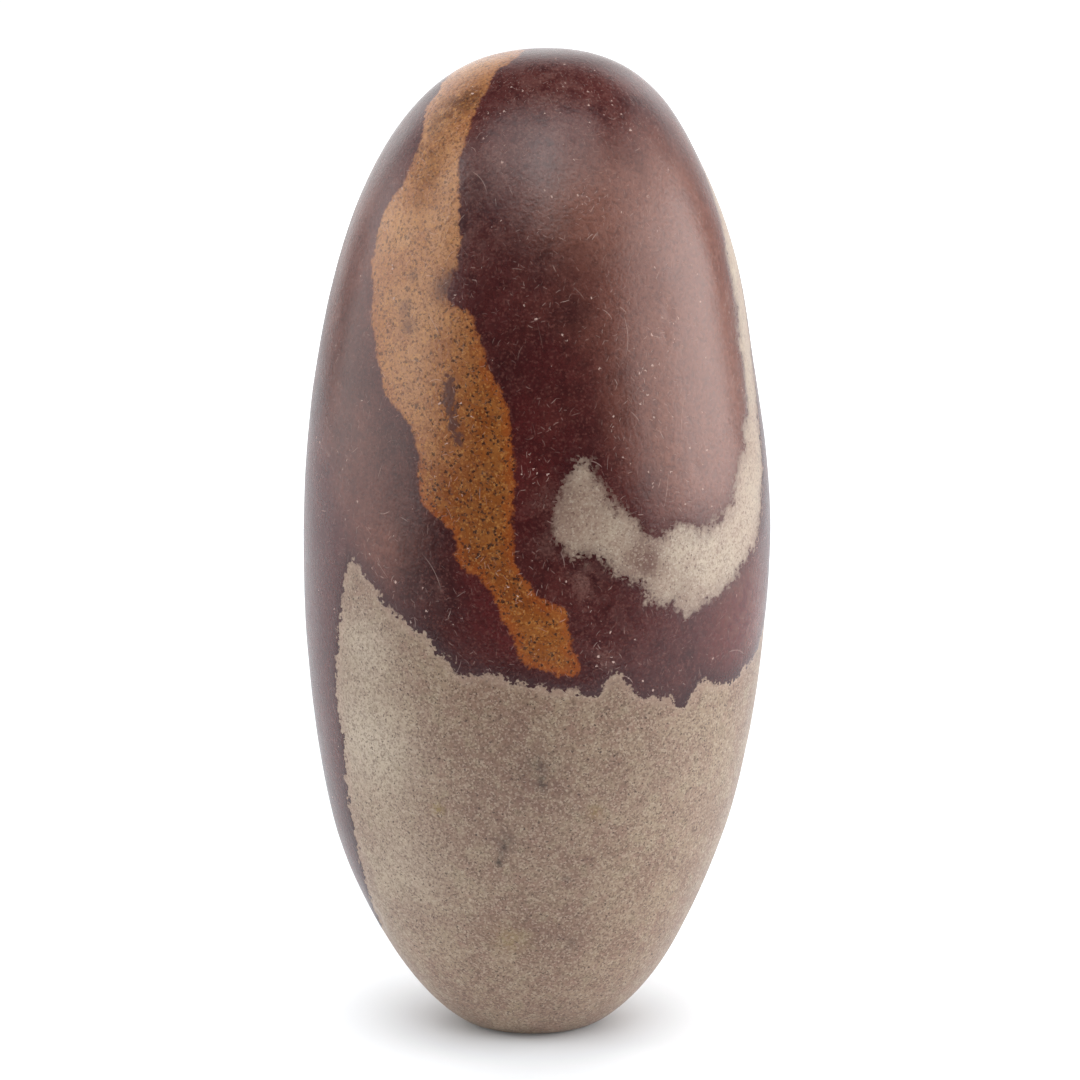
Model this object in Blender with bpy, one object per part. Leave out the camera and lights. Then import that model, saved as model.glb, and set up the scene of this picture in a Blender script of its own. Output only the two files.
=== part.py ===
"""A lingam stone: one tall, egg-shaped river stone, ground and polished by hand.

Metres, +Z up. The origin is the middle of the small flat spot the stone stands on. Its front,
where the pale band hooks down over the dark red, faces -Y, and +X is its right.
"""
from math import asin, atan2, cos, exp, pi, sin

import bmesh
import bpy
from mathutils import Vector

MM = 0.001

# Overall size
HEIGHT = 100 * MM
WIDTH = 47.6 * MM              # left to right, of the even body before its hollows and swellings
DEPTH = 43 * MM                # front to back: the section is slightly oval

# Form of the body
FULLNESS = 0.83                # 1 is a plain ellipsoid, and less makes the two ends blunter
TOP_HEAVY = 0.113              # the body widens by this share from foot to crown
LEAN = 1.4 * MM                # how far the crown stands to the right of the foot

# The flat spot the stone stands on
TIP_GROUND_OFF = 1.5 * MM      # how far the lower tip would reach below the flat spot
FOOT_ROUNDING = 0.5 * MM       # height over which the body turns into the flat spot

# Broad hollows (-) and swellings (+) of a hand-ground stone. Each has the azimuth and height of
# its middle, its spread round the body and up it, and its depth as a share of the radius.
# Azimuth 0 is the front, and 90 degrees is the right.
UNEVENNESS = {
    "right shoulder": (90, 72 * MM, 50, 16 * MM, -0.068),
    "right of crown": (90, 92 * MM, 60, 9 * MM, -0.059),
    "right belly": (90, 42 * MM, 60, 14 * MM, -0.012),
    "right of foot": (90, 12 * MM, 50, 9 * MM, -0.019),
    "left shoulder": (-90, 75 * MM, 60, 14 * MM, -0.008),
    "left belly": (-90, 35 * MM, 50, 12 * MM, 0.014),
    "left of foot": (-90, 20 * MM, 50, 10 * MM, 0.040),
}

# Fineness of the surface
SEGMENTS_ROUND = 56
SEGMENTS_UP = 48

STONE_RED = (0.105, 0.031, 0.028, 1.0)
STONE_ROUGHNESS = 0.35


def unevenness(azimuth, height):
    """Share of the radius that the hollows and swellings add at one place."""
    total = 0.0
    for middle, level, spread_round, spread_up, depth in UNEVENNESS.values():
        turn = (azimuth * 180 / pi - middle + 180) % 360 - 180
        total += depth * exp(-(turn / spread_round) ** 2 - ((height - level) / spread_up) ** 2)
    return total


def ground_flat(height):
    """Height above the flat spot, once the tip below it has been ground off."""
    if height > FOOT_ROUNDING:
        return height
    if height < -FOOT_ROUNDING:
        return 0.0
    return (height + FOOT_ROUNDING) ** 2 / (4 * FOOT_ROUNDING)


def stone_point(direction):
    """Where a direction on the unit sphere lands on the stone."""
    latitude = asin(max(-1.0, min(1.0, direction.z)))
    azimuth = atan2(direction.x, -direction.y)
    half_length = (HEIGHT + TIP_GROUND_OFF) / 2
    height = HEIGHT - half_length + half_length * sin(latitude)
    radius = cos(latitude) ** FULLNESS * (1 + unevenness(azimuth, height))
    radius *= 1 + TOP_HEAVY * (height / HEIGHT - 0.5)
    return Vector((
        WIDTH / 2 * radius * sin(azimuth) + LEAN * height / HEIGHT,
        -DEPTH / 2 * radius * cos(azimuth),
        ground_flat(height),
    ))


def make_material():
    material = bpy.data.materials.new("polished_stone")
    material.use_nodes = True
    shader = material.node_tree.nodes["Principled BSDF"]
    shader.inputs["Base Color"].default_value = STONE_RED
    shader.inputs["Roughness"].default_value = STONE_ROUGHNESS
    shader.inputs["Metallic"].default_value = 0.0
    return material


def make_stone():
    form = bmesh.new()
    bmesh.ops.create_uvsphere(form, u_segments=SEGMENTS_ROUND, v_segments=SEGMENTS_UP, radius=1)
    for vertex in form.verts:
        vertex.co = stone_point(vertex.co.normalized())
    bmesh.ops.recalc_face_normals(form, faces=form.faces)
    mesh = bpy.data.meshes.new("lingam_stone")
    form.to_mesh(mesh)
    form.free()
    mesh.shade_smooth()
    mesh.materials.append(make_material())
    stone = bpy.data.objects.new("lingam_stone", mesh)
    bpy.context.scene.collection.objects.link(stone)
    return stone


for old in list(bpy.data.objects):
    bpy.data.objects.remove(old, do_unlink=True)
make_stone()
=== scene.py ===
"""A polished lingam stone on a white table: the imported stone's frame, with its finished surface.

Azimuth 0 is the stone's front, at -Y, and +90 degrees is its right, at +X. Heights are in
millimetres above the table. Lengths without a unit in their name are metres.
"""
from math import cos, pi, radians, sin

import bmesh
import bpy
import numpy as np
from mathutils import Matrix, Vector, noise
from mathutils.kdtree import KDTree


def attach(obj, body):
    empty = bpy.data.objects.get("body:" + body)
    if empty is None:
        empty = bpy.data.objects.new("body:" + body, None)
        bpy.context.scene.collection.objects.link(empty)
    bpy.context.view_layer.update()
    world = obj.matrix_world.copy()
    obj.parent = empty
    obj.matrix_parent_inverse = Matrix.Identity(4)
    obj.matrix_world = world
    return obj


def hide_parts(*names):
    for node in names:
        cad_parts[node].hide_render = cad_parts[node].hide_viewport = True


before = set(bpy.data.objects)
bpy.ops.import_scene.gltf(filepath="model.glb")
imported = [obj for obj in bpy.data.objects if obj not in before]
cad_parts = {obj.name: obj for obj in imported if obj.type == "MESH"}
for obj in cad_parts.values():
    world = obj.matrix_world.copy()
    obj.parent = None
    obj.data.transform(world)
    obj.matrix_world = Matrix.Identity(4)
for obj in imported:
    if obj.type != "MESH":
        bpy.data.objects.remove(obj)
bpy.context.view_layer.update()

MM = 0.001

# ---------------------------------------------------------------- form of the stone, as in its CAD
HEIGHT, WIDTH, DEPTH = 100 * MM, 47.6 * MM, 43 * MM
FULLNESS = 0.83
TOP_HEAVY = 0.113
LEAN = 1.4 * MM
TIP_GROUND_OFF = 1.5 * MM
FOOT_ROUNDING = 0.5 * MM
HALF_LENGTH = (HEIGHT + TIP_GROUND_OFF) / 2
# azimuth, height and spreads of each broad hollow (-) or swelling (+), and its share of the radius
UNEVENNESS = (
    (90, 72 * MM, 50, 16 * MM, -0.068),
    (90, 92 * MM, 60, 9 * MM, -0.059),
    (90, 42 * MM, 60, 14 * MM, -0.012),
    (90, 12 * MM, 50, 9 * MM, -0.019),
    (-90, 75 * MM, 60, 14 * MM, -0.008),
    (-90, 35 * MM, 50, 12 * MM, 0.014),
    (-90, 20 * MM, 50, 10 * MM, 0.040),
)
SEGMENTS_ROUND = 400
SEGMENTS_UP = 249
MAP_MARGIN = 0.004
SHEET_GIRTH, SHEET_RISE = 135, 118      # mm, of the stone's skin laid flat


def surface(azimuth, crown_angle):
    """Points of the stone for azimuths and for angles down from the crown, both in radians."""
    height = HEIGHT - HALF_LENGTH + HALF_LENGTH * np.cos(crown_angle)
    uneven = 0.0
    for middle, level, spread_round, spread_up, depth in UNEVENNESS:
        turn = (np.degrees(azimuth) - middle + 180) % 360 - 180
        swell = np.exp(-(turn / spread_round) ** 2 - ((height - level) / spread_up) ** 2)
        uneven = uneven + depth * swell
    radius = np.abs(np.sin(crown_angle)) ** FULLNESS * (1 + uneven)
    radius = radius * (1 + TOP_HEAVY * (height / HEIGHT - 0.5))
    knee = np.clip(height + FOOT_ROUNDING, 0, 2 * FOOT_ROUNDING) ** 2 / (4 * FOOT_ROUNDING)
    return np.stack((
        WIDTH / 2 * radius * np.sin(azimuth) + LEAN * height / HEIGHT,
        -DEPTH / 2 * radius * np.cos(azimuth),
        np.where(height > FOOT_ROUNDING, height, knee),
    ), axis=-1)


# ------------------------------------------------------------------- the stone's natural markings
# Each outline is a closed smooth loop through (azimuth in degrees, height in mm).

# Edge of the pale sandstone that makes the lower third, all the way round
SANDSTONE_EDGE = (
    (-78, 10.5), (-70, 13.5), (-65, 17), (-62, 21), (-61, 26), (-59, 31), (-60, 36), (-59, 40),
    (-57, 43), (-54, 48), (-51, 51.5), (-47, 50.5), (-44, 49.5), (-39, 47.5), (-35, 46.5),
    (-31, 45.5), (-27, 45), (-25, 44), (-21, 42.5), (-20, 41.5), (-17, 41), (-14, 41.5), (-8, 41),
    (-5, 41), (-1, 40.5), (4, 40), (9, 40), (14, 39.5), (17, 41), (19, 41.5), (21, 41), (22, 40),
    (25, 39), (28, 38.5), (34, 38), (38, 37.5), (42, 38.5), (46, 39.5), (49, 39), (53, 38.5),
    (59, 38.5), (62, 39), (66, 39.5), (71, 40), (77, 41.5), (85, 44), (96, 49), (110, 54),
    (122, 54.5), (134, 50), (148, 45), (165, 41), (182, 38.5), (200, 37), (215, 33), (230, 26),
    (245, 18), (260, 12), (272, 9.5),
)
# The ochre band: down its left side from the crown, and back up its right side
OCHRE_BAND = (
    (-80, 97), (-69, 96), (-66, 94.8), (-58, 93), (-53, 90.5), (-52.5, 88), (-57.5, 84.8),
    (-57, 82.5), (-55, 80), (-52, 77.5), (-50, 75), (-47, 72.5), (-44, 70), (-41, 68), (-38, 67),
    (-33, 65.5), (-31, 64), (-30, 62), (-30, 60), (-29, 58), (-26, 57), (-22, 56), (-20, 54.5),
    (-20, 53), (-18, 52), (-15, 51.5), (-12, 50), (-10, 48.5), (-8, 46.5), (-6, 45.5), (-5, 44),
    (-3, 42.5), (1, 42), (5, 41.5), (9, 41.5), (10, 42), (10, 43), (8, 44), (8, 45), (7, 46.5),
    (6, 48), (3, 48.5), (1, 49), (-2, 50), (-3, 51), (-5, 52), (-6, 53.5), (-6, 57), (-6, 61),
    (-6.5, 64), (-7.5, 67), (-9.5, 69), (-12.5, 70.7), (-14.5, 72.2), (-16.2, 74.2),
    (-18.5, 76.3), (-22, 76.9), (-25.5, 77.5), (-26.5, 79), (-24.5, 81), (-25, 84.5), (-27.5, 87),
    (-29.5, 89), (-31, 91), (-33, 93.5), (-33, 96.3), (-37, 98), (-37, 99), (-44, 99.8),
    (-135, 99.8), (-160, 99.3), (-168, 98.5), (-172, 97),
    (-176, 92), (-172, 84), (-166, 76), (-163, 68), (-158, 62), (-151, 64), (-146, 72),
    (-138, 80), (-126, 88), (-112, 94), (-98, 97.5),
)
# The cream band: down the right side, round the hook on the front, and back up to the right
CREAM_BAND = (
    (100, 95), (88, 91), (80, 87), (74, 83), (69, 79.5), (69, 77), (68, 73.5), (67, 72),
    (68, 70), (68, 68.5), (67, 66), (65, 64.5), (62, 63.5), (62, 61.5), (59, 60.5), (56, 59),
    (55, 57.5), (53, 56.5), (48, 55.5), (42, 55), (37, 55.5), (35, 55.6), (33, 55.6), (31, 55.2),
    (28.5, 54.8), (26, 55.2), (24, 56), (22, 57), (20, 57.7), (17.5, 58.3), (16, 59.2),
    (15, 60.3), (13, 61), (13, 62), (13, 62.8), (11, 63), (8.5, 63), (6.5, 62), (5, 60.5),
    (4, 59), (3.3, 57.5), (3.2, 56), (4, 54.8), (6, 54), (8, 53), (9.5, 52.8), (11, 53.3),
    (13, 53), (15, 52.5),
    (18, 51.5), (22, 50.5), (25, 50), (27, 48.5), (31, 48), (35, 47.5), (37, 47), (39, 46.5),
    (41, 47), (44, 47.5), (48, 48), (52, 48.5), (55, 49), (58, 50), (63, 51.5), (67, 52.5),
    (68, 53.5), (70, 54.5), (72, 56.5), (74, 58.5), (76, 61), (77, 64), (80, 67), (84, 72),
    (90, 78), (96, 83), (105, 88), (117, 92), (112, 95),
)
# A purple-brown tongue inside the ochre band
TONGUE = (
    (-24.5, 70.4), (-22, 70.5), (-21.3, 68), (-20.3, 66), (-19.3, 64), (-20.6, 64), (-22.8, 66.2),
    (-24.6, 68.4),
)
OUTLINE_STEPS = 8              # points on the curve from one outline point to the next


def crown_angle_at(height_mm):
    """Angle down from the crown, in radians, of the points at a height."""
    return np.arccos(np.clip((height_mm * MM - HEIGHT + HALF_LENGTH) / HALF_LENGTH, -1, 1))


def smooth_loop(outline):
    """A closed Catmull-Rom curve, in a flat map of the stone with the crown at its middle."""
    azimuth, height = np.array(outline, float).T
    angle = crown_angle_at(height)
    knots = np.stack((angle * np.sin(np.radians(azimuth)), angle * np.cos(np.radians(azimuth))), 1)
    before, after, second = (np.roll(knots, by, axis=0) for by in (1, -1, -2))
    curve = []
    for t in np.arange(OUTLINE_STEPS) / OUTLINE_STEPS:
        curve.append(0.5 * (
            2 * knots + (after - before) * t
            + (2 * before - 5 * knots + 4 * after - second) * t ** 2
            + (3 * knots - before - 3 * after + second) * t ** 3
        ))
    return np.stack(curve, 1).reshape(-1, 2)


def edge_distance(places, map_points, outline):
    """Distance in mm of each surface point from an outline, positive inside the loop."""
    loop = smooth_loop(outline)
    knots = surface(np.arctan2(loop[:, 0], loop[:, 1]), np.hypot(loop[:, 0], loop[:, 1]))
    tree = KDTree(len(knots))
    for index, knot in enumerate(knots):
        tree.insert(knot, index)
    tree.balance()
    nearest = np.array([tree.find(place)[1] for place in places])
    distance = np.full(len(places), np.inf)
    for first, second in ((nearest - 1, nearest), (nearest, (nearest + 1) % len(knots))):
        along, reach = knots[second] - knots[first], places - knots[first]
        share = np.clip((reach * along).sum(1) / (along ** 2).sum(1), 0, 1)
        distance = np.minimum(distance, np.linalg.norm(reach - share[:, None] * along, axis=1))
    inside = np.zeros(len(places), bool)
    x, y = map_points.T
    for (x0, y0), (x1, y1) in zip(loop, np.roll(loop, -1, axis=0)):
        if y0 != y1:
            inside ^= ((y0 > y) != (y1 > y)) & (x < x0 + (y - y0) / (y1 - y0) * (x1 - x0))
    return distance / MM * np.where(inside, 1, -1)


def spots(places, marks):
    """Sum of soft round spots, each with its azimuth, height in mm, radius in mm and strength."""
    total = np.zeros(len(places))
    for azimuth, height, radius, strength in marks:
        middle = surface(radians(azimuth), crown_angle_at(height))
        total += strength * np.exp(-((places - middle) ** 2).sum(1) / (radius * MM) ** 2)
    return total


# Soft marks: azimuth in degrees, height in mm, radius in mm, strength
PALE_CLOUDS = (                # paler, pinkish grain showing through the dark red
    (10, 51, 1.8, 1.0), (1.5, 58.5, 1.8, 0.8), (2, 54.5, 1.3, 0.7), (24, 53.5, 2.0, 0.5),
    (17, 58, 1.6, 0.3), (14, 46, 4.0, 0.18), (24, 44, 5.0, 0.12), (16, 43, 0.9, 1.0),
    (-24, 50, 2.0, 0.4), (3, 89, 7.0, 0.65), (-24, 90, 3.5, 0.5), (-20, 83, 2.5, 0.35),
    (-47, 33, 5.8, 0.9), (-46, 43, 3.5, 0.7), (-43, 20, 6.0, 0.5), (50, 28, 8.0, 0.15),
    (2, 97, 6.0, 0.45), (150, 70, 8.0, 0.5), (-120, 50, 9.0, 0.4), (172, 55, 5.0, 0.5),
)
WARM_AND_SIDE_LIT_CLOUDS = (                # lighter, browner on the right and the left: partly the stone's own colour, partly painted light where the side panels shine
    (44, 74, 11.5, 1.0), (48, 62, 8.0, 0.7), (38, 62, 6.0, 0.25), (48, 88, 8.0, 0.6),
    (-48, 60, 8.0, 0.45), (-38, 53, 5.0, 0.4), (-66, 72, 10.0, 0.4), (60, 46, 6.0, 0.6),
    (4, 88, 6.0, 0.3), (16, 86, 6.0, 0.4), (-70, 84, 8.0, 0.4), (64, 45, 4.0, 0.5),
    (140, 72, 12.0, 0.9), (-130, 62, 12.0, 0.7),
)
RED_CLOUDS = (                 # redder stone beside the ochre and low on the right
    (-12, 47.5, 2.2, 0.9), (-8, 44.5, 1.6, 0.9), (-17, 51, 2.0, 0.6), (-4, 62, 2.2, 0.6),
    (-5, 67, 2.0, 0.6), (-4, 57, 1.5, 0.5), (52, 43, 4.0, 0.7), (64, 46, 6.0, 1.1),
    (120, 64, 6.0, 0.8), (-130, 60, 6.0, 0.7), (30, 96, 8.0, 0.3),
)
TAN_CLOUDS = (                 # where the ochre is paler
    (-42, 84, 11.0, 1.0), (-48, 97, 9.0, 0.8), (-36, 70, 6.0, 0.6), (-26, 63, 4.0, 0.4),
    (-150, 92, 12.0, 0.7),
)
UMBER_CLOUDS = (               # where the ochre is browner
    (-42, 96, 1.8, 1.4), (-50, 94.5, 2.0, 0.8), (-48, 91, 2.5, 0.7), (-42, 87.5, 2.0, 0.5),
    (-12, 60, 3.5, 0.4), (-16, 55, 3.0, 0.3), (-165, 80, 5.0, 0.6),
)
TAUPE_CLOUDS = (               # where the cream is thin, and the dark red shows through
    (8, 58, 4.0, 0.65), (25, 53, 2.0, 1.1), (28, 51.5, 1.5, 0.5), (20, 53, 2.0, 0.2),
    (37, 49, 2.0, 0.4), (110, 90, 6.0, 0.5),
)
BROWN_CLOUDS = (               # browner patches of the sandstone
    (-4, 34, 4.5, 0.8), (3, 29, 3.5, 0.8), (-14, 27, 4.0, 0.6), (-10, 23, 2.5, 0.6),
    (14, 22, 3.0, 0.6), (9, 14, 3.5, 0.6), (-3, 16, 4.0, 0.5), (20, 31, 3.0, 0.6),
    (-22, 35, 3.0, 0.4), (160, 25, 5.0, 0.5), (-150, 18, 5.0, 0.5), (110, 35, 5.0, 0.4),
)
YELLOW_SPOTS = (
    (-27, 27, 0.6, 0.9), (16, 27, 0.7, 0.5), (-8, 13, 1.6, 0.4), (130, 22, 1.2, 0.6),
)
SMUDGES = (                    # purple-brown, on the ochre
    (-27, 78.6, 1.3, 0.8), (-25.5, 80, 0.9, 0.5), (-39, 76.6, 0.7, 0.6), (-37, 74.8, 0.8, 0.6),
    (-38, 79.5, 0.6, 0.4), (-158, 78, 1.5, 0.7),
)
STAINS = (                     # dark mineral stains on the sandstone
    (-10.4, 21.7, 0.35, 0.8), (-9.7, 22.5, 0.35, 0.7), (-8.8, 23.5, 0.5, 0.5), (-8, 24.4, 0.9, 0.3),
    (1.5, 30, 0.4, 0.8), (1.2, 31, 0.4, 0.5), (0.8, 32.3, 0.5, 0.4), (0.5, 32, 1.8, 0.2),
    (9, 20, 0.4, 0.5), (13, 12.5, 0.7, 0.3), (140, 30, 1.6, 0.6), (-160, 20, 1.1, 0.7),
)
CHIPPED_PLACES = (             # where the polish has many small chips
    (-2, 62.5, 1.3, 1.0), (33, 74, 2.5, 0.8), (29, 69, 3.0, 0.6), (40, 62, 4.0, 0.5),
    (44, 80, 2.5, 0.5), (-55, 62, 1.6, 0.6), (12, 96, 6.0, 0.25), (-8, 84, 5.0, 0.12),
    (-22, 49, 3.0, 0.3), (16, 44, 2.5, 0.4), (120, 70, 5.0, 0.4), (-150, 60, 5.0, 0.4),
)
PITS = (                       # small real hollows, the strength being the depth in mm
    (-10, 22.3, 0.6, 0.15), (-72, 11.5, 0.9, 0.25), (-68, 12.6, 0.8, 0.15), (-2, 62.5, 0.5, 0.07),
    (33, 74, 0.5, 0.08), (35, 76, 0.5, 0.08), (27, 66, 0.5, 0.07), (41, 61, 0.6, 0.06),
    (12, 92, 0.5, 0.06), (-57, 63, 0.6, 0.07), (-18, 83, 0.5, 0.06), (100, 40, 0.8, 0.1),
    (150, 60, 0.7, 0.12), (-140, 35, 0.8, 0.12), (175, 25, 0.9, 0.12), (-120, 75, 0.6, 0.1),
)
UNDULATION = 0.07              # mm, of the hand-ground surface
UNDULATION_WAVES = (           # wavelength in mm, share of UNDULATION, seed
    (9, 1.0, 3.1), (3.5, 0.4, 8.4),
)
SANDSTONE_WEAR = 0.05          # mm, by which the softer pale stone lies lower than the dark red
WEAR_SLOPE = 0.8               # mm, over which the surface sinks at the edge of the pale stone
FOOT_PLAIN = 0.2 * MM          # below this height the surface keeps its plain form
FOOT_BLEND = 2 * MM            # and over this much more height the relief grows to its full depth


def smooth_noise(places, wavelength, seed):
    """Smooth noise round 0 at each place. The seed says which part of the noise is used."""
    shift = Vector((seed, 2.3 * seed, -1.7 * seed))
    return np.array([noise.noise(Vector(p) / wavelength + shift) for p in places])


def ring_mesh():
    """A closed ball of rings of quads, and each point's azimuth and angle down from the crown."""
    around = np.arange(SEGMENTS_ROUND)
    rings = 1 + SEGMENTS_ROUND * np.arange(SEGMENTS_UP - 1)[:, None]
    here, beside = rings + around, rings + (around + 1) % SEGMENTS_ROUND
    quads = np.stack((here[:-1], here[1:], beside[1:], beside[:-1]), -1).reshape(-1, 4)
    foot = 1 + SEGMENTS_ROUND * (SEGMENTS_UP - 1)
    crown_fan = [(0, first, second) for first, second in zip(here[0], beside[0])]
    foot_fan = [(foot, second, first) for first, second in zip(here[-1], beside[-1])]
    azimuth = np.tile(2 * pi * (around + 0.5) / SEGMENTS_ROUND - pi, SEGMENTS_UP - 1)
    angle = np.repeat(pi * np.arange(1, SEGMENTS_UP) / SEGMENTS_UP, SEGMENTS_ROUND)
    azimuth, angle = np.concatenate(([0], azimuth, [0])), np.concatenate(([0], angle, [pi]))
    mesh = bpy.data.meshes.new("polished_stone")
    mesh.from_pydata(surface(azimuth, angle).tolist(), [], crown_fan + quads.tolist() + foot_fan)
    return mesh, azimuth, angle


def make_stone():
    """The polished stone's mesh, with its marks as point values, its fine relief and its maps."""
    mesh, azimuth, crown_angle = ring_mesh()
    places = surface(azimuth, crown_angle)
    map_points = np.stack((crown_angle * np.sin(azimuth), crown_angle * np.cos(azimuth)), 1)

    # The sandstone's edge runs round the crown, so the sandstone is outside of its loop
    marks = {"sandstone": -edge_distance(places, map_points, SANDSTONE_EDGE)}
    for name, outline in (("ochre", OCHRE_BAND), ("cream", CREAM_BAND), ("tongue", TONGUE)):
        marks[name] = edge_distance(places, map_points, outline)
    soft_marks = {
        "pale": PALE_CLOUDS, "warm_and_side_lit": WARM_AND_SIDE_LIT_CLOUDS, "red": RED_CLOUDS, "tan": TAN_CLOUDS,
        "umber": UMBER_CLOUDS, "taupe": TAUPE_CLOUDS, "brown": BROWN_CLOUDS,
        "yellow": YELLOW_SPOTS, "smudge": SMUDGES, "stain": STAINS, "chips": CHIPPED_PLACES,
    }
    for name, clouds in soft_marks.items():
        marks[name] = spots(places, clouds)
    for name, values in marks.items():
        layer = mesh.attributes.new(name, "FLOAT", "POINT")
        layer.data.foreach_set("value", values.astype(np.float32))

    soft = np.clip(0.5 + np.maximum(marks["sandstone"], marks["cream"]) / WEAR_SLOPE, 0, 1)
    inward = SANDSTONE_WEAR * soft * soft * (3 - 2 * soft) + spots(places, PITS)
    for wavelength, share, seed in UNDULATION_WAVES:
        inward -= share * UNDULATION * smooth_noise(places, wavelength * MM, seed)
    outward = np.stack((np.sin(azimuth) * np.sin(crown_angle) / WIDTH,
                        -np.cos(azimuth) * np.sin(crown_angle) / DEPTH,
                        np.cos(crown_angle) / HEIGHT), 1)
    outward /= np.linalg.norm(outward, axis=1)[:, None]
    rises = np.clip((places[:, 2] - FOOT_PLAIN) / FOOT_BLEND, 0, 1)
    places -= outward * (inward * rises * MM)[:, None]
    mesh.vertices.foreach_set("co", places.ravel())
    add_maps(mesh, azimuth, crown_angle)
    mesh.shade_smooth()
    mesh.update()
    stone = bpy.data.objects.new("polished_stone", mesh)
    bpy.context.scene.collection.objects.link(stone)
    return stone


def add_maps(mesh, azimuth, crown_angle):
    """One sheet round the stone with its seam down the back: in mm, and as a plain 0 to 1 map."""
    corner_vertex = np.empty(len(mesh.loops), int)
    first_corner = np.empty(len(mesh.polygons), int)
    mesh.loops.foreach_get("vertex_index", corner_vertex)
    mesh.polygons.foreach_get("loop_start", first_corner)
    sizes = np.diff(np.append(first_corner, len(corner_vertex)))
    u = (azimuth / (2 * pi) + 0.5)[corner_vertex]
    v = 1 - (crown_angle / pi)[corner_vertex]
    at_pole = (np.sin(crown_angle) < 1e-6)[corner_vertex]
    lowest = np.minimum.reduceat(np.where(at_pole, np.inf, u), first_corner)
    highest = np.maximum.reduceat(np.where(at_pole, -np.inf, u), first_corner)
    over_seam = np.repeat(highest - lowest > 0.5, sizes)
    u = np.where(over_seam & (u < 0.5), u + 1, u)
    side_sum = np.add.reduceat(np.where(at_pole, 0, u), first_corner)
    u = np.where(at_pole, np.repeat(side_sum / 2, sizes), u)
    share = np.stack((u, v), 1)
    for name, sheet in (
        ("OFBake", share * (1 - 2 * MAP_MARGIN) + MAP_MARGIN),
        ("sheet", share * (SHEET_GIRTH, SHEET_RISE)),
    ):
        mesh.uv_layers.new(name=name).data.foreach_set("uv", sheet.ravel())


# --------------------------------------------------------------------------------- node building
def srgb(red, green, blue):
    """A colour as it looks on screen, 0 to 255, turned into the linear light that shaders use."""
    def linear(value):
        value /= 255
        return value / 12.92 if value <= 0.04045 else ((value + 0.055) / 1.055) ** 2.4
    return linear(red), linear(green), linear(blue), 1.0


class Graph:
    """Short ways to add and join shader nodes."""

    def __init__(self, tree):
        self.tree = tree

    def join(self, value, socket):
        if isinstance(value, bpy.types.NodeSocket):
            self.tree.links.new(value, socket)
        else:
            socket.default_value = value

    def add(self, kind, inputs=None, **settings):
        node = self.tree.nodes.new("ShaderNode" + kind)
        for name, value in settings.items():
            setattr(node, name, value)
        for name, value in (inputs or {}).items():
            self.join(value, node.inputs[name])
        return node

    def math(self, operation, *values, clamp=False):
        node = self.add("Math", operation=operation, use_clamp=clamp)
        for value, socket in zip(values, node.inputs):
            self.join(value, socket)
        return node.outputs[0]

    def attribute(self, name):
        return self.add("Attribute", attribute_name=name).outputs["Fac"]

    def step(self, value, low, high, bottom=0.0, top=1.0):
        """Smooth step of value from bottom at low to top at high."""
        node = self.add("MapRange", {
            "Value": value, "From Min": low, "From Max": high, "To Min": bottom, "To Max": top,
        }, interpolation_type="SMOOTHSTEP")
        return node.outputs[0]

    def mix(self, share, first, second):
        """Colour mix: the first colour where share is 0, the second where it is 1."""
        node = self.add("Mix", data_type="RGBA")
        for value, index in ((share, 0), (first, 6), (second, 7)):
            self.join(value, node.inputs[index])
        return node.outputs[2]

    def noise(self, places, size_mm, detail=2.0, roughness=0.5):
        """Noise of about size_mm from one lump to the next, centred on 0.5."""
        return self.add("TexNoise", {
            "Vector": places, "Scale": 1 / size_mm, "Detail": detail, "Roughness": roughness,
        }).outputs[0]

    def cells(self, places, size_mm):
        """Grains of about size_mm: the distance to each grain's middle, and its random colour."""
        node = self.add("TexVoronoi", {"Vector": places, "Scale": 1 / size_mm})
        chance = self.add("TexWhiteNoise", {"Vector": node.outputs["Color"]})
        return node.outputs["Distance"], chance.outputs["Color"]

    def channel(self, colour, name):
        return self.add("SeparateColor", {"Color": colour}).outputs[name]


def new_material(name):
    material = bpy.data.materials.new(name)
    material.use_nodes = True
    return material, Graph(material.node_tree), material.node_tree.nodes["Principled BSDF"]


# ------------------------------------------------------------------------------- the stone's skin
def ragged_edge(g, name, waves, weights):
    """Distance in mm from a marking's edge, made uneven by waves of falling length."""
    value = g.attribute(name)
    for wave, weight in zip(waves, weights):
        value = g.math("MULTIPLY_ADD", g.math("SUBTRACT", wave, 0.5), weight, value)
    return value


def patches(g, name, wave, low, high, bottom=0.0, top=1.0):
    """A soft mark from 0 to 1, broken up by a wave: weak where it is low, strong where high."""
    return g.math("MULTIPLY", g.attribute(name), g.step(wave, low, high, bottom, top), clamp=True)


def shaded(g, colour, shades):
    """A colour with shades laid over it, each growing to its share between two values of a wave."""
    for wave, low, high, share, shade in shades:
        colour = g.mix(g.step(wave, low, high, 0, share), colour, srgb(*shade))
    return colour


def dots(g, places, size_mm, chance, smallest, largest):
    """Irregular specks, one at most in each cell: chance is the share of cells that hold one."""
    distance, colour = g.cells(places, size_mm)
    radius = g.step(g.channel(colour, "Green"), 0.0, 1.0, smallest / size_mm, largest / size_mm)
    held = g.math("LESS_THAN", g.channel(colour, "Red"), chance)
    return g.math("MULTIPLY", held, g.step(g.math("SUBTRACT", radius, distance), -0.03, 0.05))


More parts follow.
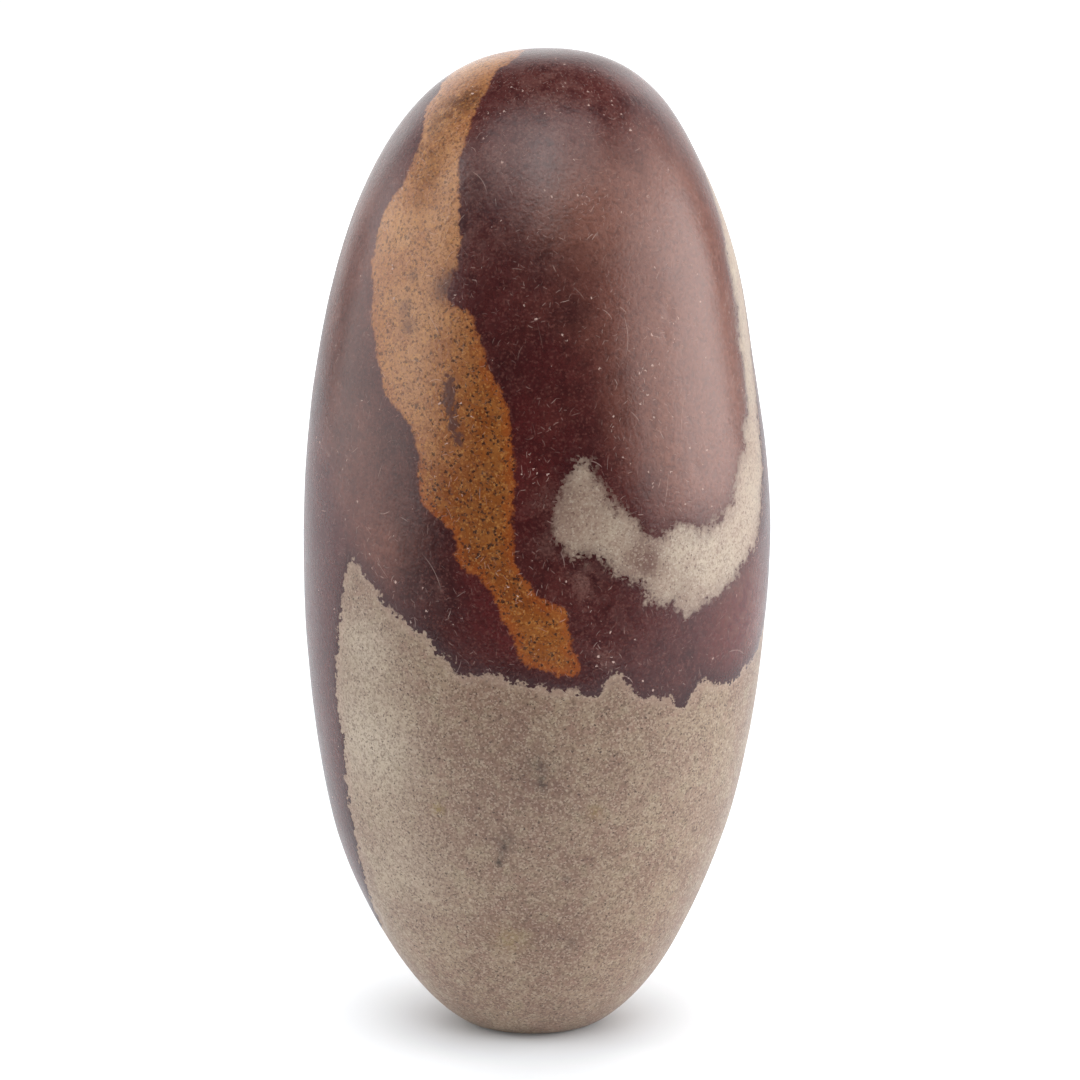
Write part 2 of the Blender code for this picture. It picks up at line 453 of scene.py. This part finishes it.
def scratches(g, sheet, size_mm, length, width, chance):
    """Short curved lines in random directions, one at most in each cell of the sheet."""
    cell = g.add("TexVoronoi", {"Vector": sheet, "Scale": 1 / size_mm}, voronoi_dimensions="2D")
    random = g.add("TexWhiteNoise", {"Vector": cell.outputs["Color"]}).outputs["Color"]
    red, green, blue = (g.channel(random, name) for name in ("Red", "Green", "Blue"))
    local = g.add("VectorMath", {0: sheet, 1: cell.outputs["Position"]}, operation="SUBTRACT")
    turned = g.add("VectorRotate", {
        "Vector": local.outputs[0], "Angle": g.math("MULTIPLY", red, 2 * pi),
    }, rotation_type="Z_AXIS")
    axes = g.add("SeparateXYZ", {0: turned.outputs[0]}).outputs
    bend = g.math("MULTIPLY", g.math("SUBTRACT", blue, 0.5), 1.2 / length)
    across = g.math("MULTIPLY_ADD", g.math("MULTIPLY", axes["X"], axes["X"]), bend, axes["Y"])
    line = g.step(g.math("ABSOLUTE", across), 0.7 * width, 0.2 * width)
    reach = g.math("MULTIPLY", g.math("MULTIPLY_ADD", blue, 0.6, 0.4), length / 2)
    ends = g.step(g.math("DIVIDE", g.math("ABSOLUTE", axes["X"]), reach), 1.0, 0.5)
    strength = g.step(green, 1 - chance, 1.0, 0.0, 1.0)
    return g.math("MULTIPLY", g.math("MULTIPLY", line, ends), strength)


# In the four colours, n holds the noise waves by name, from broad to fine
def dark_red_colour(g, n, near_pale):
    colour = g.mix(g.step(n["broad"], 0.35, 0.65), srgb(60, 21, 22), srgb(80, 30, 30))
    colour = shaded(g, colour, (
        (n["medium"], 0.40, 0.72, 0.5, (94, 42, 38)),
        (n["small"], 0.50, 0.30, 0.40, (46, 17, 20)),
    ))
    # Lighter brown where the warm clouds lie: partly the stone's colour, partly painted light of
    # the side panels on the right and the left
    warm_and_side_lit = g.math("MULTIPLY_ADD", g.math("SUBTRACT", n["medium"], 0.5), 0.5, g.attribute("warm_and_side_lit"))
    warm_and_side_lit = g.math("MULTIPLY", g.step(warm_and_side_lit, 0.05, 1.0), g.step(n["small"], 0.2, 0.6, 0.75, 1.0))
    warm_and_side_lit = g.math("MULTIPLY", warm_and_side_lit, g.step(n["grain"], 0.0, 0.5, 0.8, 1.0))
    colour = g.mix(warm_and_side_lit, colour, srgb(134, 87, 73))
    colour = g.mix(patches(g, "red", n["small"], 0.25, 0.7, 0.3), colour, srgb(92, 30, 30))
    pale = patches(g, "pale", n["small"], 0.30, 0.66)
    pale = g.math("MULTIPLY", pale, g.step(n["fine"], 0.15, 0.85, 0.35, 1.0))
    colour = g.mix(pale, colour, srgb(126, 90, 82))
    colour = shaded(g, colour, (
        (n["tiny"], 0.55, 0.35, 0.3, (44, 18, 20)),
        (n["fine"], 0.72, 1.0, 0.38, (126, 82, 74)),
    ))
    return g.mix(g.math("MULTIPLY", near_pale, 0.42), colour, srgb(48, 19, 24))


def sandstone_colour(g, n, flecks, fringe):
    patch = g.math("MULTIPLY_ADD", g.math("SUBTRACT", n["small"], 0.5), 0.5, n["medium"])
    colour = g.mix(g.step(patch, 0.40, 0.60), srgb(158, 134, 111), srgb(142, 113, 94))
    colour = shaded(g, colour, (
        (n["broad"], 0.45, 0.7, 0.5, (146, 119, 101)),
        (n["small"], 0.52, 0.70, 0.6, (156, 123, 106)),
        (n["small"], 0.46, 0.30, 0.6, (146, 128, 103)),
    ))
    pale = patches(g, "pale", n["small"], 0.2, 0.5, 0.5)
    colour = g.mix(pale, colour, srgb(196, 180, 159))
    brown = patches(g, "brown", n["small"], 0.35, 0.6, 0.2)
    colour = g.mix(brown, colour, srgb(126, 95, 80))
    colour = shaded(g, colour, (
        (n["tiny"], 0.50, 0.68, 0.5, (116, 90, 75)),
        (n["grain"], 0.4, 0.0, 0.25, (108, 84, 71)),
        (n["grain"], 0.7, 1.0, 0.22, (190, 171, 149)),
        (n["fine"], 0.35, 0.0, 0.55, (92, 68, 56)),
        (n["fine"], 0.65, 1.0, 0.38, (202, 184, 162)),
    ))
    colour = g.mix(g.math("MULTIPLY", flecks, 0.85), colour, srgb(72, 51, 42))
    colour = g.mix(patches(g, "yellow", n["tiny"], 0.3, 0.6), colour, srgb(142, 120, 60))
    return g.mix(g.math("MULTIPLY", fringe, 0.35), colour, srgb(184, 156, 138))


def cream_colour(g, n, flecks, thin):
    colour = g.mix(g.step(n["medium"], 0.35, 0.7), srgb(190, 173, 153), srgb(178, 155, 137))
    taupe = patches(g, "taupe", n["small"], 0.2, 0.6, 0.4)
    colour = g.mix(taupe, colour, srgb(130, 104, 90))
    thinnest = g.step(g.attribute("taupe"), 0.75, 1.2)
    mottle = g.math("MULTIPLY", thinnest, g.step(n["tiny"], 0.44, 0.58))
    colour = g.mix(g.math("MULTIPLY", mottle, 0.75), colour, srgb(100, 62, 54))
    colour = shaded(g, colour, (
        (n["tiny"], 0.50, 0.68, 0.4, (136, 106, 92)),
        (n["grain"], 0.4, 0.0, 0.3, (124, 94, 84)),
        (n["fine"], 0.3, 0.0, 0.4, (112, 80, 72)),
        (n["fine"], 0.70, 1.0, 0.3, (216, 202, 184)),
    ))
    colour = g.mix(g.math("MULTIPLY", flecks, 0.65), colour, srgb(84, 56, 50))
    return g.mix(g.math("MULTIPLY", thin, g.step(n["grain"], 0.2, 0.8)), colour, srgb(92, 58, 54))


def ochre_colour(g, n, pepper, edge):
    colour = g.mix(g.step(n["medium"], 0.38, 0.66), srgb(148, 84, 35), srgb(131, 68, 28))
    tan = g.mix(g.step(n["medium"], 0.35, 0.68), srgb(191, 140, 99), srgb(174, 118, 80))
    paler = g.math("MULTIPLY_ADD", g.math("SUBTRACT", n["small"], 0.5), 0.5, g.attribute("tan"))
    colour = g.mix(g.step(paler, 0.0, 1.0), colour, tan)
    umber = patches(g, "umber", n["small"], 0.35, 0.6, 0.2)
    colour = g.mix(umber, colour, srgb(104, 62, 40))
    colour = shaded(g, colour, (
        (n["small"], 0.45, 0.7, 0.3, (178, 116, 52)),
        (n["tiny"], 0.50, 0.66, 0.45, (116, 60, 26)),
        (n["fine"], 0.30, 0.0, 0.45, (98, 52, 26)),
        (n["fine"], 0.72, 1.0, 0.42, (206, 150, 86)),
    ))
    rich = g.step(g.attribute("tan"), 0.6, 0.0, 0.05, 0.35)
    rim = g.math("MULTIPLY", g.step(edge, 1.3, 0.3), rich)
    colour = g.mix(rim, colour, srgb(164, 74, 28))
    colour = g.mix(g.step(edge, 0.35, -0.05, 0, 0.45), colour, srgb(112, 48, 32))
    return g.mix(g.math("MULTIPLY", pepper, 0.88), colour, srgb(44, 24, 18))


def stone_material():
    """The stone's skin: four stones with ragged edges between them, under one worn polish."""
    material, g, shader = new_material("polished_stone")
    metres = g.add("TexCoord").outputs["Object"]
    at = g.add("VectorMath", {0: metres, "Scale": 1 / MM}, operation="SCALE").outputs[0]
    sheet = g.add("UVMap", uv_map="sheet").outputs["UV"]

    # Noise of several lengths and two sizes of sand grain, each with its own shade
    grain_distance, grain_colour = g.cells(at, 0.32)
    fine_colour = g.cells(at, 0.17)[1]
    n = {
        "broad": g.noise(at, 14, 2), "medium": g.noise(at, 4.5, 3, 0.6),
        "small": g.noise(at, 1.4, 3, 0.6), "tiny": g.noise(at, 0.40, 3, 0.6),
        "grain": g.channel(grain_colour, "Red"), "fine": g.channel(fine_colour, "Blue"),
    }

    # Places moved a little at random, which give the specks their uneven edges
    wobble = g.add("TexNoise", {"Vector": at, "Scale": 1 / 0.22, "Detail": 1.0}).outputs["Color"]
    wobbled = g.add("VectorMath", {
        0: wobble, 1: (0.45, 0.45, 0.45), 2: at,
    }, operation="MULTIPLY_ADD").outputs[0]

    # Where each marking is: the edges follow the grains
    waves = n["medium"], n["small"], n["tiny"], n["grain"]
    sandstone_at = ragged_edge(g, "sandstone", waves, (1.4, 2.2, 0.5, 0.55))
    cream_at = ragged_edge(g, "cream", waves, (2.2, 3.0, 0.8, 0.9))
    holes = g.math("MULTIPLY", g.attribute("taupe"), g.step(n["small"], 0.42, 0.60))
    cream_at = g.math("MULTIPLY_ADD", holes, -0.8, cream_at)
    ochre_at = ragged_edge(g, "ochre", waves, (1.2, 1.2, 0.3, 0.25))
    tongue_at = ragged_edge(g, "tongue", waves, (0.6, 0.8, 0.3, 0.6))
    sandstone = g.step(sandstone_at, -0.12, 0.14)
    cream = g.step(cream_at, -0.40, 0.50)
    ochre = g.step(ochre_at, -0.16, 0.16)
    porous = g.math("MAXIMUM", sandstone, cream)

    near_sandstone = g.step(sandstone_at, -1.8, -0.1)
    near_pale = g.math("MAXIMUM", near_sandstone, g.step(cream_at, -1.6, -0.2, 0, 0.6))
    flecks = dots(g, wobbled, 0.36, 0.55, 0.02, 0.11)
    pepper = g.math("MAXIMUM", dots(g, wobbled, 0.42, 0.95, 0.06, 0.17), flecks)
    pepper = g.math("MULTIPLY", pepper, g.step(g.attribute("tan"), 0.1, 1.0, 1.0, 0.6))
    pepper = g.math("MULTIPLY", pepper, g.step(n["small"], 0.25, 0.5, 0.6, 1.0))

    colour = dark_red_colour(g, n, near_pale)
    colour = g.mix(ochre, colour, ochre_colour(g, n, pepper, ochre_at))
    smudge = patches(g, "smudge", n["small"], 0.2, 0.6, 0.6, 1.1)
    smudge = g.math("MAXIMUM", smudge, g.step(tongue_at, -0.25, 0.25, 0, 0.9))
    colour = g.mix(g.math("MULTIPLY", smudge, ochre), colour, srgb(92, 60, 54))
    thin = g.step(cream_at, 2.2, 0.1, 0, 0.55)
    colour = g.mix(cream, colour, cream_colour(g, n, flecks, thin))
    fringe = g.step(sandstone_at, 1.1, 0.2)
    colour = g.mix(sandstone, colour, sandstone_colour(g, n, flecks, fringe))
    stain = patches(g, "stain", n["tiny"], 0.25, 0.6, 0.4, 1.3)
    colour = g.mix(stain, colour, srgb(66, 53, 42))

    # What the polish left: hair-fine scratches, and chips that are bright with crushed stone
    chipped = g.attribute("chips")
    scuffed = g.step(g.math("ADD", n["medium"], g.math("MULTIPLY", chipped, 0.3)), 0.35, 0.7)
    hairs = g.math("MULTIPLY", scratches(g, sheet, 0.7, 0.7, 0.06, 0.8), scuffed)
    hairs = g.math("MAXIMUM", hairs, scratches(g, sheet, 2.6, 1.5, 0.06, 0.5))
    hairs = g.math("MAXIMUM", hairs, scratches(g, sheet, 9.0, 4.0, 0.06, 0.5))
    chance = g.step(n["medium"], 0.45, 0.7, 0.02, 0.14)
    chance = g.math("MULTIPLY_ADD", chipped, 0.8, chance)
    chips = dots(g, wobbled, 0.50, chance, 0.02, 0.125)
    worn = g.math("MAXIMUM", g.math("MULTIPLY", hairs, 0.46), g.math("MULTIPLY", chips, 0.85))
    worn = g.math("MULTIPLY", worn, g.step(porous, 0.0, 1.0, 1.0, 0.3))
    colour = g.mix(worn, colour, srgb(214, 182, 170))

    # Polish: smoother on the dark stone than on the porous pale stone
    roughness = g.math("MULTIPLY_ADD", porous, 0.10, 0.27)
    roughness = g.math("MULTIPLY_ADD", g.math("SUBTRACT", n["small"], 0.5), 0.12, roughness)
    roughness = g.math("MULTIPLY_ADD", g.math("MAXIMUM", chips, hairs), 0.2, roughness)

    # Fine relief in mm
    relief = g.math("MULTIPLY", g.math("SUBTRACT", n["tiny"], 0.5), 0.034)
    pores = g.math("MULTIPLY", g.math("MULTIPLY", grain_distance, porous), -0.012)
    relief = g.math("ADD", relief, pores)
    relief = g.math("MULTIPLY_ADD", chips, -0.03, relief)
    relief = g.math("MULTIPLY_ADD", hairs, -0.012, relief)
    relief = g.math("MULTIPLY_ADD", pepper, g.math("MULTIPLY", ochre, -0.008), relief)
    bump = g.add("Bump", {"Strength": 1.0, "Distance": MM, "Height": relief})

    g.join(colour, shader.inputs["Base Color"])
    g.join(roughness, shader.inputs["Roughness"])
    g.join(bump.outputs[0], shader.inputs["Normal"])
    shader.inputs["IOR"].default_value = 1.5
    return material


# ------------------------------------------------------------------------------ table and lights
TABLE_RADIUS = 0.8
TABLE_IN_FRONT = 0.10          # the stone stands near the front edge of the table
UNSEEN_PAINTED_LIGHT = 0.15             # the most painted light the table gives off where the camera doesn't see it
# Each panel's name, azimuth, elevation, distance, width, height, radiance, and whether it shines
PANELS = (
    ("right_panel", 78, 9, 0.9, 1.2, 0.6, 2.4, True),
    ("right_key", 94, 7, 0.88, 0.7, 0.6, 1.8, True),
    ("right_high", 80, 36, 0.9, 0.9, 0.35, 1.5, True),
    ("left_panel", -84, 9, 0.9, 1.25, 0.62, 1.9, True),
    ("left_spot", -69, 38, 0.9, 0.14, 0.25, 6.0, True),
    ("top_panel", 2, 62, 1.0, 1.15, 0.62, 2.0, True),
    ("top_core", 1, 49, 0.95, 0.26, 0.46, 2.4, True),
    ("left_rim", -130, 28, 1.0, 0.8, 0.6, 0.9, True),
    ("right_rim", 140, 32, 1.0, 0.6, 0.5, 1.0, True),
    ("overhead_panel", 180, 62, 1.2, 1.6, 1.2, 1.1, False),
)
CAMERA_TARGET_MM = (0.76, 0, 50.47)
CAMERA_ELEVATION = 12          # degrees
CAMERA_DISTANCE = 0.4
CAMERA_LENS = 131.6            # mm, on a sensor 36 mm wide


def make_table():
    """A round white table that glows with painted light, least beside the stone's foot, which
    paints the shadow there.
    """
    form = bmesh.new()
    bmesh.ops.create_circle(form, cap_ends=True, segments=180, radius=TABLE_RADIUS)
    bmesh.ops.translate(form, verts=form.verts, vec=(0, TABLE_RADIUS - TABLE_IN_FRONT, 0))
    mesh = bpy.data.meshes.new("table")
    form.to_mesh(mesh)
    form.free()
    material, g, shader = new_material("white_table")
    shader.inputs["Base Color"].default_value = srgb(233, 237, 241)
    shader.inputs["Roughness"].default_value = 0.8
    shader.inputs["Emission Color"].default_value = (1, 1, 1, 1)
    place = g.add("TexCoord").outputs["Object"]
    from_stone = g.add("VectorMath", {0: place}, operation="LENGTH").outputs["Value"]
    # Painted light: the glow is least beside the stone's foot and grows away from it, which paints
    # the shadow round the foot
    painted_light_beside_stone = g.step(from_stone, 0.006, 0.027, 0.03, 0.33)
    painted_light = g.math("ADD", painted_light_beside_stone, g.step(from_stone, 0.03, 0.6, 0.0, 0.38))
    seen = g.add("LightPath").outputs["Is Camera Ray"]
    painted_light = g.math("MINIMUM", painted_light, g.math("ADD", seen, UNSEEN_PAINTED_LIGHT))
    g.join(painted_light, shader.inputs["Emission Strength"])
    mesh.materials.append(material)
    table = bpy.data.objects.new("table", mesh)
    bpy.context.scene.collection.objects.link(table)


def make_panel(name, azimuth, elevation, distance, width, height, radiance, shines):
    """A soft light panel facing the stone's middle, unseen but in the polish, if it shines."""
    light = bpy.data.lights.new(name, "AREA")
    light.shape = "RECTANGLE"
    light.size, light.size_y = width, height
    light.energy = radiance * pi * width * height
    panel = bpy.data.objects.new(name, light)
    turn, rise = radians(azimuth), radians(elevation)
    away = Vector((sin(turn) * cos(rise), -cos(turn) * cos(rise), sin(rise)))
    panel.location = Vector((0, 0, HEIGHT / 2)) + away * distance
    panel.rotation_euler = away.to_track_quat("Z", "Y").to_euler()
    panel.visible_camera = False
    panel.visible_glossy = shines
    bpy.context.scene.collection.objects.link(panel)


def make_world():
    """A white tent that is bright behind the stone, dim elsewhere, and plain white where seen."""
    world = bpy.data.worlds.new("tent")
    world.use_nodes = True
    bpy.context.scene.world = world
    g = Graph(world.node_tree)
    direction = g.add("TexCoord").outputs["Generated"]
    forward = g.add("SeparateXYZ", {0: direction}).outputs["Y"]
    tent = g.step(forward, 0.50, 1.00, 0.05, 1.5)
    seen = g.add("LightPath").outputs["Is Camera Ray"]
    strength = g.add("Mix", data_type="FLOAT")
    for value, index in ((seen, 0), (tent, 2), (1.0, 3)):
        g.join(value, strength.inputs[index])
    background = world.node_tree.nodes["Background"]
    background.inputs["Color"].default_value = (1, 1, 1, 1)
    g.join(strength.outputs[0], background.inputs["Strength"])


def make_camera():
    target = Vector(CAMERA_TARGET_MM) * MM
    rise = radians(CAMERA_ELEVATION)
    camera = bpy.data.cameras.new("camera")
    camera.sensor_width = 36
    camera.lens = CAMERA_LENS
    camera.clip_start = 0.01
    holder = bpy.data.objects.new("camera", camera)
    away = Vector((0, -cos(rise), sin(rise)))
    holder.location = target + away * CAMERA_DISTANCE
    holder.rotation_euler = away.to_track_quat("Z", "Y").to_euler()
    bpy.context.scene.collection.objects.link(holder)
    bpy.context.scene.camera = holder


make_camera()
make_world()
make_table()
for panel in PANELS:
    make_panel(*panel)

stone = make_stone()
stone.data.materials.append(stone_material())
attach(stone, "root")
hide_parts("lingam_stone")

view = bpy.context.scene.view_settings
view.view_transform = "Standard"
view.look = "None"
